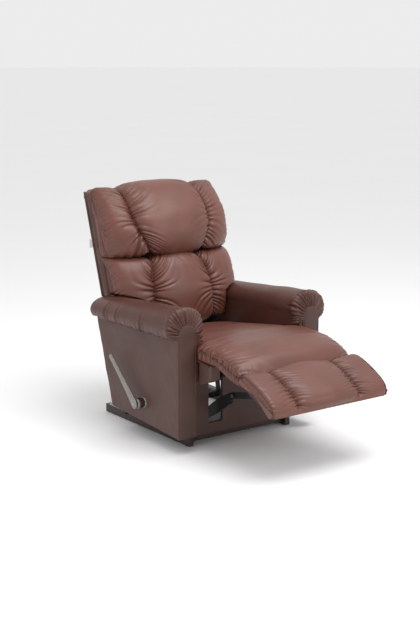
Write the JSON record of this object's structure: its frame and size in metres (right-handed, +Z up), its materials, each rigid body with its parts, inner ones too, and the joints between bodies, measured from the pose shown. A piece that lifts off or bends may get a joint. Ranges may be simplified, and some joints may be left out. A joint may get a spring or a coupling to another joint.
{
  "type": "recliner armchair",
  "caption": "Padded leather recliner with rolled arms, channelled back pillows, side release handle, sliding base and a linkage leg rest.",
  "frame": {"origin": "on the floor under the middle of the chair's bounding box, leg rest out", "axes": "+Z up, -Y the way the chair faces, +X to the right for someone looking at its front"},
  "size_m": [0.8741, 1.3608, 1.08],
  "materials": {
    "brown_leather": "semi-gloss, fine grain",
    "dark_wood": "dark stain, satin",
    "frame_wood": "raw",
    "black_steel": "black coating, satin",
    "zinc_steel": "zinc plated",
    "nickel": "satin nickel",
    "black_plastic": "matt",
    "plain_cloth": "plain weave"
  },
  "bodies": {
    "base": {"base_rail_left": "dark_wood", "base_rail_right": "dark_wood", "base_cross_front": "dark_wood", "base_cross_rear": "dark_wood", "base_glides": "black_plastic", "base_tracks": "zinc_steel", "track_screws": "zinc_steel"},
    "slides": {"middle_slides": "zinc_steel"},
    "arm_unit": {"body_slides": "zinc_steel", "body_cross_front": "frame_wood", "body_cross_rear": "frame_wood", "arm_frame_left": "frame_wood", "arm_frame_right": "frame_wood", "side_panel_left": "brown_leather", "side_panel_right": "brown_leather", "arm_facing_left": "brown_leather", "arm_facing_right": "brown_leather", "arm_roll_left": "brown_leather", "arm_roll_right": "brown_leather", "arm_inner_pad_left": "brown_leather", "arm_inner_pad_right": "brown_leather", "front_panel": "brown_leather", "rear_apron": "brown_leather", "arm_rear_covers": "brown_leather", "seat_supports": "black_steel", "handle_escutcheon": "nickel", "handle_bearing": "black_plastic"},
    "seat": {"seat_frame": "frame_wood", "seat_ear_blocks": "frame_wood", "seat_springs": "zinc_steel", "seat_deck": "plain_cloth", "seat_cushion": "brown_leather", "chaise_pad": "brown_leather", "mechanism_plates": "black_steel", "seat_hinge_plates": "black_steel", "seat_pivot_pins": "zinc_steel"},
    "back": {"outside_back": "brown_leather", "back_frame": "frame_wood", "back_springs": "zinc_steel", "back_brackets": "black_steel", "back_hinge_pins": "zinc_steel", "head_pillow": "brown_leather", "lumbar_pillow": "brown_leather", "care_tag": "plain_cloth"},
    "rear_links": {"rear_links": "black_steel", "link_tie_tube": "black_steel", "rear_link_pins": "zinc_steel"},
    "front_links": {"front_links": "black_steel", "knee_pins": "zinc_steel", "control_pins": "zinc_steel"},
    "control_links": {"control_links": "black_steel"},
    "footrest": {"footrest_board": "frame_wood", "footrest_pad": "brown_leather", "footrest_brackets": "black_steel", "footrest_pins": "zinc_steel"},
    "handle": {"handle_shaft": "zinc_steel", "handle_hub": "nickel", "handle_lever": "nickel", "handle_screw": "nickel", "handle_crank": "black_steel"}
  },
  "joints": [
    {"name": "slide_lower", "type": "slide", "parent": "base", "child": "slides", "axis": [0, -1, 0], "range_m": [-0.07, 0]},
    {"name": "slide_upper", "type": "slide", "parent": "slides", "child": "arm_unit", "axis": [0, -1, 0], "range_m": [0, 0.09]},
    {"name": "seat_tilt", "type": "hinge", "parent": "arm_unit", "child": "seat", "pos_m": [0, 0.393, 0.39], "axis": [-1, 0, 0], "range_deg": [0, 4]},
    {"name": "back_recline", "type": "hinge", "parent": "seat", "child": "back", "pos_m": [0, 0.438, 0.345], "axis": [-1, 0, 0], "range_deg": [0, 26]},
    {"name": "legrest", "type": "hinge", "parent": "seat", "child": "rear_links", "pos_m": [0, -0.017, 0.104], "axis": [-1, 0, 0], "range_deg": [0, 74.96], "deforming": ["chaise_pad"]},
    {"name": "knee", "type": "hinge", "parent": "rear_links", "child": "front_links", "pos_m": [0, -0.23326, 0.24834], "axis": [-1, 0, 0], "range_deg": [-110, 0]},
    {"name": "control_pivot", "type": "hinge", "parent": "seat", "child": "control_links", "pos_m": [0, 0.0359, 0.0626], "axis": [-1, 0, 0], "range_deg": [0, 70]},
    {"name": "footrest_pivot", "type": "hinge", "parent": "front_links", "child": "footrest", "pos_m": [0, -0.49193, 0.3059], "axis": [-1, 0, 0], "range_deg": [-29, 0]},
    {"name": "handle_turn", "type": "hinge", "parent": "arm_unit", "child": "handle", "pos_m": [-0.4, 0.123, 0.174], "axis": [-1, 0, 0], "range_deg": [-90.5, 0]}
  ],
  "couplings": [
    {"joint": "knee", "follows": "legrest", "ratio": -1.4641},
    {"joint": "control_pivot", "follows": "legrest", "ratio": 0.9327},
    {"joint": "footrest_pivot", "follows": "legrest", "ratio": -0.38436},
    {"joint": "handle_turn", "follows": "legrest", "ratio": -1.2},
    {"joint": "slide_lower", "follows": "legrest", "m_per_rad": -0.05349},
    {"joint": "slide_upper", "follows": "back_recline", "m_per_rad": 0.19832},
    {"joint": "seat_tilt", "follows": "back_recline", "ratio": 0.15384}
  ]
}
